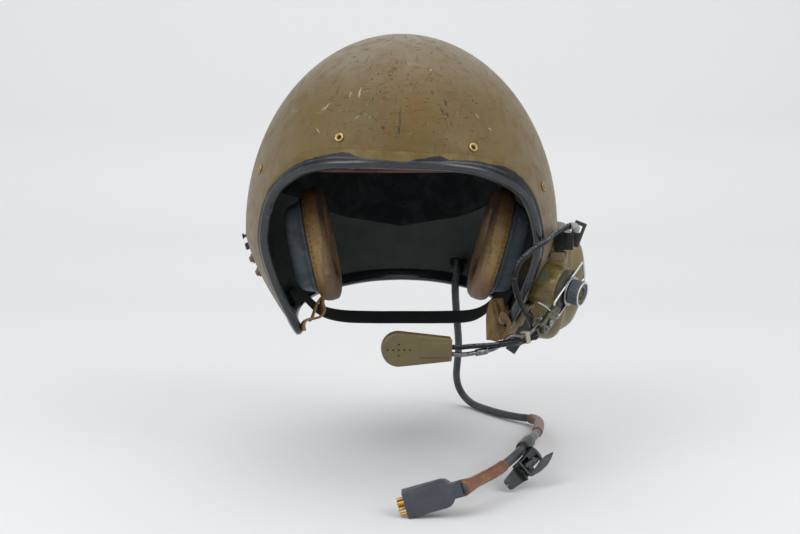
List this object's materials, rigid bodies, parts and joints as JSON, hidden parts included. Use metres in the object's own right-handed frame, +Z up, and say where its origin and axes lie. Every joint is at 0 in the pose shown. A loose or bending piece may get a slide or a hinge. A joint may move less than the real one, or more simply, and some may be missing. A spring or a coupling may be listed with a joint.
{
  "type": "tank crew helmet",
  "caption": "Moulded tank crew helmet with leather-padded ear cups, a swinging boom microphone, and a main lead with a garment clip and a multi-pin plug.",
  "frame": {"origin": "middle of the head opening, level with the headband's lower half, on the shell's plane of symmetry", "axes": "+X to the wearer's left, -Y towards the front of the face, +Z up through the crown"},
  "size_m": [0.2857, 0.3364, 0.3492],
  "materials": {
    "shell": "worn olive paint over a moulded shell",
    "edge_rubber": "black rubber, overpainted olive at the brow",
    "brass": "aged",
    "foam": "matt",
    "band_leather": "dark brown, creased",
    "webbing": "woven olive webbing",
    "dark_webbing": "woven dark webbing",
    "wire_dark": "dark coated wire",
    "cushion_leather": "tan, worn and creased",
    "cup_rubber": "matt",
    "earphone": "black, glossy",
    "tan_strap": "tan strap",
    "bright_wire": "bright",
    "copper": "dull copper",
    "olive_plastic": "olive, slightly glossy",
    "dark_steel": "dark, worn",
    "steel": "worn steel",
    "socket_paint": "olive paint",
    "black_plastic": "black",
    "cable_rubber": "black, glossy",
    "sleeve": "off-white sleeve",
    "knob_plastic": "dark grey, ribbed",
    "aluminium": "worn bright",
    "plate": "grey-green paint, rubbed",
    "lead_rubber": "dark grey-green",
    "tape": "copper-brown tape",
    "clip_black": "black, worn",
    "plug_plastic": "slate grey",
    "contact": "plated"
  },
  "bodies": {
    "helmet": {"shell": "shell", "edge_trim": "edge_rubber", "shell_screws": "brass", "impact_liner": "foam", "headband": "band_leather", "crown_straps": "webbing", "crown_ring": "wire_dark", "ear_cushion_left": "cushion_leather", "ear_cushion_right": "cushion_leather", "ear_cup_left": "cup_rubber", "ear_cup_right": "cup_rubber", "earphone_left": "earphone", "earphone_right": "earphone", "tie_strap_left": "tan_strap", "tie_strap_right": "tan_strap", "tie_ring": "bright_wire", "tie_rivets": "copper", "nape_strap": "dark_webbing", "chin_strap": "dark_webbing", "strap_keeper": "socket_paint", "side_hook": "dark_steel", "side_studs": "socket_paint", "ear_dome": "olive_plastic", "boom_boss": "olive_plastic", "clamp_stud": "steel", "socket_bracket": "socket_paint", "lead_connector": "black_plastic", "connector_clip": "dark_steel", "lead_sleeve": "sleeve", "mic_lead": "cable_rubber", "lead_gland": "black_plastic", "main_lead": "lead_rubber", "tape_upper": "tape", "tape_lower": "tape", "clip_band": "black_plastic", "clip_base": "clip_black", "clip_pin": "clip_black", "clip_spring": "dark_steel", "plug_body": "plug_plastic", "plug_contacts": "contact"},
    "clamp": {"friction_washer": "cable_rubber", "clamp_washer": "steel"},
    "knob": {"boom_knob": "knob_plastic", "knob_rim": "aluminium", "knob_screw": "brass"},
    "bail": {"boom_bail": "bright_wire"},
    "plate": {"pivot_plate": "plate", "plate_rivets": "plate", "plate_wire": "bright_wire"},
    "boom": {"boom_rod": "aluminium", "swivel_bolt": "bright_wire", "boom_collar": "aluminium", "boom_sheath": "sleeve", "boom_lead": "cable_rubber", "rod_clip": "aluminium", "mic_body": "olive_plastic", "mic_cover": "olive_plastic", "mic_capsule": "black_plastic"},
    "lever": {"clip_lever": "clip_black"}
  },
  "joints": [
    {"name": "knob_turn", "type": "hinge", "parent": "helmet", "child": "knob", "pos_m": [0.131, -0.054, -0.0885], "axis": [0.831, -0.5193, -0.1994], "range_deg": [-180, 180]},
    {"name": "boom_swing", "type": "hinge", "parent": "helmet", "child": "clamp", "pos_m": [0.131, -0.054, -0.0885], "axis": [0.831, -0.5193, -0.1994], "range_deg": [-40, 15], "deforming": ["mic_lead"]},
    {"name": "boom_slide", "type": "slide", "parent": "clamp", "child": "bail", "axis": [-0.5311, -0.6341, -0.5621], "range_m": [-0.002, 0.018]},
    {"name": "plate_tilt", "type": "hinge", "parent": "bail", "child": "plate", "pos_m": [0.11772, -0.06985, -0.10255], "axis": [0.1655, 0.573, -0.8027], "range_deg": [-12, 12]},
    {"name": "rod_swivel", "type": "hinge", "parent": "plate", "child": "boom", "pos_m": [0.1113, -0.07752, -0.10935], "axis": [0.831, -0.5193, -0.1994], "range_deg": [-15, 20]},
    {"name": "clip_squeeze", "type": "hinge", "parent": "helmet", "child": "lever", "pos_m": [0.0979, -0.086, -0.2183], "axis": [0.6691, 0.5593, 0.4894], "range_deg": [0, 25], "stiffness_Nm_per_rad": 0.25, "springref_deg": -22.92, "deforming": ["clip_spring"]}
  ]
}
